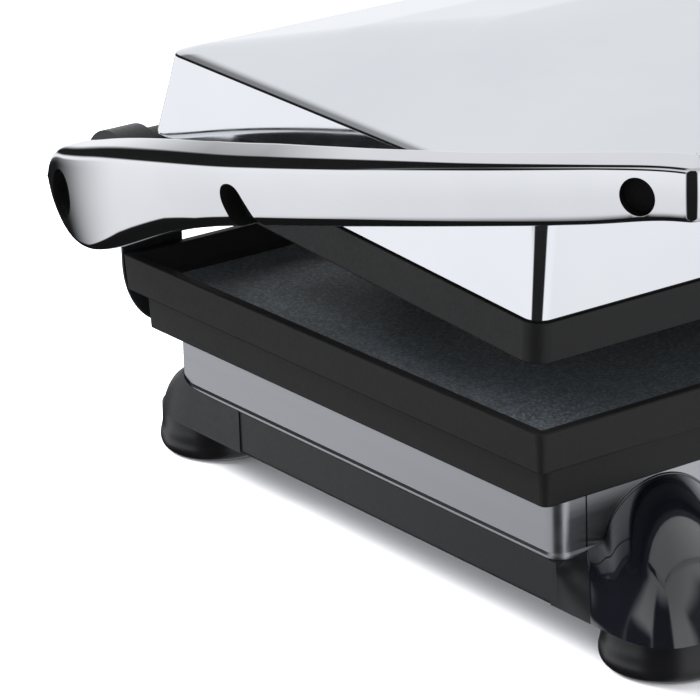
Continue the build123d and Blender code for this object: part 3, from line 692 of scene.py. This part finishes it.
def arm_ring(outer, inward, z_low, z_top, rise, r_top, r_low, thick=arm_thick):
    """Closed section: outer face, crowned top, inner face and underside."""
    height = z_top - z_low
    limit = 0.45 * height
    rise = min(rise, 0.3 * height)
    crown = 0.9 * height / 40.0        # the outer face is a little fuller at mid height
    corners = [(0, z_low, min(r_low, limit)), (0, z_top, min(r_top, limit)),
               (thick, z_top + rise, min(3.0, limit)), (thick, z_low, min(3.0, limit))]
    outline = eased(corners, 7, closed=True)
    low_end, top_end = outline[7][1], outline[8][1]
    face = [(0, low_end + (top_end - low_end) * k / 10) for k in range(1, 10)]
    outline = outline[:8] + face + outline[8:]
    ring = []
    for u, z in outline:
        away = (2 * z - z_low - z_top) / height
        inset = crown * away * away * max(0.0, 1 - u / thick)
        ring.append((outer.x + inward.x * (u + inset), outer.y + inward.y * (u + inset), z))
    return ring


def along_x_cutter(outline, x0, x1):
    """Prism along X over a (y, z) outline."""
    return stacked([[(x, y, z) for y, z in outline] for x in (x0, x1)])


def pipe_cutter(centre, direction, radius, before, after, segments=72):
    """Cylinder about a line through centre."""
    turn = Vector(direction).to_track_quat("Z", "Y").to_matrix().to_4x4()
    rings = turned_rings([(radius, -before), (radius, after)], segments)
    return moved(stacked(rings), Matrix.Translation(centre) @ turn)


def make_arms():
    """Bowed chrome arms, each with its hole, hinge recess and pivot slot."""
    sections = arm_sections()
    rings = [arm_ring(*section) for section in sections]
    arm = stacked(rings)
    hole_at = rim_front + Vector((7.0, -47.0, 100.6))
    hole_turn = math.radians(30)
    hole_dir = Vector((-math.cos(hole_turn), -math.sin(hole_turn), 0))
    recess_turn = math.radians(13)
    recess_dir = Vector((-math.cos(recess_turn), math.sin(recess_turn), 0))
    recess_at = Vector((-half_w - 22.3, hinge_at.y - 3.0, hinge_at.z))
    slot_y = tray_front
    slot_z = rim_z
    slot_outline = [(slot_y + y, slot_z + z) for y, z in
                    spline([(139.0, 40.0), (142.0, 48.0), (145.5, 54.0), (149.0, 58.2), (151.6, 62.8),
                            (151.1, 66.6), (146.8, 68.9), (141.4, 68.0), (138.2, 65.4),
                            (135.2, 62.6), (130.4, 58.4), (123.0, 55.0), (112.0, 51.6), (108.0, 40.0)], 80)]
    for mirror_it in (False, True):
        name = "handle_arm_right" if mirror_it else "handle_arm_left"
        part = flipped_x(arm) if mirror_it else arm
        obj = piece(name + "_skin", part, [chrome, pit_black], "handle", (name,), crease=40)
        # The cut walls take the second material, near-black: painted shade inside the hole, recess and
        # slot.
        cutters = [(pipe_cutter(hole_at, hole_dir, 7.0, 13.0, 10.0), 1),
                   (pipe_cutter(recess_at, recess_dir, 10.4, 7.2, 14.0), 1),
                   (along_x_cutter(slot_outline, -half_w - 60, -half_w - 8), 1)]
        for cutter, wall in cutters:
            cut(obj, flipped_x(cutter) if mirror_it else cutter, wall)
        finish_edges(obj)


def finish_edges(obj):
    obj.data.shade_smooth()
    obj.data.set_sharp_from_angle(angle=math.radians(34))


def make_grip():
    """Chrome grip between the two arms, with the section of their ends."""
    outer, inward, z_low, z_top, rise, r_top, r_low = arm_sections()[-1]
    rings = []
    for x in np.linspace(outer.x, -outer.x, 25):
        rings.append(arm_ring(Vector((x, outer.y, 0)), Vector((0, 1, 0)), z_low, z_top, rise, r_top, r_low))
    piece("grip_skin", stacked(rings), chrome, "handle", ("grip_bar",))


make_tray()
make_bezel()
make_band()
make_base()
make_front_legs()
make_rear_legs()
make_feet()
make_lid_shell()
make_lid_frame()
make_arms()
make_grip()


# ================= CAD nodes that stay as they are =================

node_looks = {
    "hinge_post": base_black, "rear_bridge": base_black, "opening_stop": base_black,
    "inlet_gland": rubber, "bottom_cover": plain_steel,
    "cover_screws": plain_steel, "leg_screws": plain_steel, "post_screws": plain_steel,
    "lower_element": heater_look, "upper_element": heater_look, "lower_reflector": plain_steel,
    "upper_reflector": plain_steel, "thermostat": satin_black, "terminal_block": satin_black,
    "spacer_ring": satin_black, "friction_washer": brass_look, "indicator_lenses": red_lens,
    "indicator_lamps": lamp_glass, "dial_bezel": plain_steel, "dial_knob": gloss_black,
    "dial_spindle": plain_steel, "hinge_shaft": chrome, "hinge_barrel": satin_black,
    "recess_ring": pit_black, "pivot_bush": satin_black, "arm_plug": pit_black,
    "upper_plate": tray_coat, "pivot_bracket": satin_black, "pivot_pin": plain_steel,
    "plate_screws": plain_steel, "thermal_fuse": plain_steel, "lead_grommet": rubber,
}


def dress_nodes():
    """Gives each CAD node that still shows its own material."""
    for name, obj in frame["nodes"].items():
        if obj.hide_render:
            continue
        plain = name.replace("_left", "").replace("_right", "")
        obj.data.materials.clear()
        obj.data.materials.append(node_looks[plain])


dress_nodes()


# ================= floor, light and camera =================

def make_floor():
    """Pale paper just under the feet, in metres."""
    size = 4.0
    gap = 0.0002
    mesh = bpy.data.meshes.new("floor")
    corners = [(-size, -size, 0), (size, -size, 0), (size, size, 0), (-size, size, 0)]
    mesh.from_pydata(corners, [], [(0, 1, 2, 3)])
    floor = bpy.data.objects.new("floor", mesh)
    floor.location.z = -gap
    bpy.context.scene.collection.objects.link(floor)
    nodes = Nodes("floor_paper")
    nodes.shader.inputs["Specular IOR Level"].default_value = 0.0
    nodes.shader.inputs["Roughness"].default_value = 1.0
    nodes.tones(nodes.noise(3.0), (0.88, 0.88, 0.905), (0.89, 0.89, 0.915))
    mesh.materials.append(nodes.material)
    floor.visible_glossy = False        # mirrors see the studio's own lower half


def make_world():
    """White studio with dark flags for the metal to reflect."""
    world = bpy.data.worlds.new("studio")
    bpy.context.scene.world = world
    world.use_nodes = True
    tree = world.node_tree
    tree.nodes.clear()

    def add(kind, **settings):
        node = tree.nodes.new(kind)
        for key, value in settings.items():
            setattr(node, key, value)
        return node

    def math_node(operation, a, b=None, c=None):
        node = add("ShaderNodeMath", operation=operation)
        for socket, value in zip(node.inputs, (a, b, c)):
            if value is None:
                continue
            if isinstance(value, (int, float)):
                socket.default_value = value
            else:
                tree.links.new(value, socket)
        return node.outputs[0]

    def smooth(value, start, end):
        node = add("ShaderNodeMapRange", interpolation_type="SMOOTHSTEP")
        node.inputs["From Min"].default_value = start
        node.inputs["From Max"].default_value = end
        tree.links.new(value, node.inputs["Value"])
        return node.outputs["Result"]

    direction = add("ShaderNodeTexCoord").outputs["Generated"]
    split = add("ShaderNodeSeparateXYZ")
    tree.links.new(direction, split.inputs[0])
    x, y, z = split.outputs
    # heading: 0 along -Y, 90 along -X, 180 along +Y
    turn = math_node("ARCTAN2", math_node("MULTIPLY", x, -1.0), math_node("MULTIPLY", y, -1.0))
    heading = math_node("DEGREES", turn)
    heading = math_node("FLOORED_MODULO", heading, 360.0)
    rise = math_node("DEGREES", math_node("ARCSINE", z))

    def window(value, low, low_end, high, high_end):
        return math_node("MULTIPLY", smooth(value, low, low_end),
                         math_node("SUBTRACT", 1.0, smooth(value, high, high_end)))

    def both(first, second, strength=1.0):
        return math_node("MULTIPLY", math_node("MULTIPLY", first, second), strength)

    flags = [
        # before the object's left front corner, from the table up
        both(window(heading, 14, 22, 79, 88), math_node("SUBTRACT", 1.0, smooth(rise, 60, 76))),
        # to the left and behind, above the table
        both(window(heading, 112, 130, 188, 206), window(rise, -5, 1, 58, 72)),
        both(window(heading, 76, 90, 120, 135), window(rise, -5, 1, 22, 34)),
        # the floor to the left, below the arms
        both(window(heading, 80, 88, 197, 206), math_node("SUBTRACT", 1.0, smooth(rise, -28, -23))),
        # the table's dark far edge, left and behind
        both(window(heading, 160, 174, 204, 214), window(rise, -60, -48, -15, -8)),
        # a smaller flag in front to the right
        both(window(heading, 290, 302, 332, 342), window(rise, 2, 12, 38, 52), 0.9),
    ]
    dark = flags[0]
    for flag in flags[1:]:
        dark = math_node("MAXIMUM", dark, flag)
    light = math_node("ADD", 0.60, math_node("MULTIPLY", smooth(rise, -42, -20), 0.26))
    light = math_node("ADD", light, math_node("MULTIPLY", smooth(rise, -20, -9), 0.12))
    light = math_node("SUBTRACT", light, math_node("MULTIPLY", smooth(rise, 2, 18), 0.16))
    light = math_node("SUBTRACT", light, math_node("MULTIPLY", smooth(rise, 30, 75), 0.25))
    flag_depth = 0.985
    let_through = math_node("SUBTRACT", 1.0, math_node("MULTIPLY", dark, flag_depth))
    mirror_level = math_node("MULTIPLY", light, let_through)
    path = add("ShaderNodeLightPath")
    diffuse_level = 1.58
    level = add("ShaderNodeMix", data_type="FLOAT")
    tree.links.new(path.outputs["Is Glossy Ray"], level.inputs["Factor"])
    level.inputs["A"].default_value = diffuse_level
    tree.links.new(mirror_level, level.inputs["B"])
    background = add("ShaderNodeBackground")
    background.inputs["Color"].default_value = (0.97, 0.98, 1.0, 1)
    tree.links.new(level.outputs["Result"], background.inputs["Strength"])
    white = add("ShaderNodeBackground")
    white.inputs["Color"].default_value = (1, 1, 1, 1)
    white.inputs["Strength"].default_value = 1.1
    mix = add("ShaderNodeMixShader")
    tree.links.new(path.outputs["Is Camera Ray"], mix.inputs[0])
    tree.links.new(background.outputs[0], mix.inputs[1])
    tree.links.new(white.outputs[0], mix.inputs[2])
    out = add("ShaderNodeOutputWorld")
    tree.links.new(mix.outputs[0], out.inputs["Surface"])


def make_key_light():
    """Soft light from the left and behind that reaches in under the lid."""
    heading, elevation, distance = math.radians(140), math.radians(34), 1.3
    place = Vector((-math.sin(heading) * math.cos(elevation), -math.cos(heading) * math.cos(elevation),
                    math.sin(elevation))) * distance
    data = bpy.data.lights.new("key", "AREA")
    data.size = 0.5
    data.energy = 26.0
    light = bpy.data.objects.new("key", data)
    light.location = place + Vector((0, 0, 0.1))
    light.rotation_euler = (-place).to_track_quat("-Z", "Y").to_euler()
    light.visible_glossy = False
    bpy.context.scene.collection.objects.link(light)


def make_camera():
    """Long lens from the front left, slightly above and rolled a little."""
    azimuth = math.radians(35.314)
    elevation = math.radians(19.855)
    roll = math.radians(-1.968)
    aim = Vector((-half_w - 41.4, tray_front + 59.1, rim_z + 27.1))
    distance = 1400.0
    forward = Vector((math.sin(azimuth) * math.cos(elevation), math.cos(azimuth) * math.cos(elevation),
                      -math.sin(elevation)))
    right = Vector((math.cos(azimuth), -math.sin(azimuth), 0))
    up = right.cross(forward)
    rolled_right = right * math.cos(roll) + up * math.sin(roll)
    rolled_up = up * math.cos(roll) - right * math.sin(roll)
    data = bpy.data.cameras.new("camera")
    data.lens = 196.22
    data.sensor_width = 36.0
    camera = bpy.data.objects.new("camera", data)
    axes = Matrix((rolled_right, rolled_up, -forward)).transposed().to_4x4()
    camera.matrix_world = Matrix.Translation((aim - forward * distance) * MM) @ axes
    data.clip_end = 20.0
    bpy.context.scene.collection.objects.link(camera)
    bpy.context.scene.camera = camera


make_floor()
make_world()
make_key_light()
make_camera()
bpy.context.scene.view_settings.view_transform = "Standard"
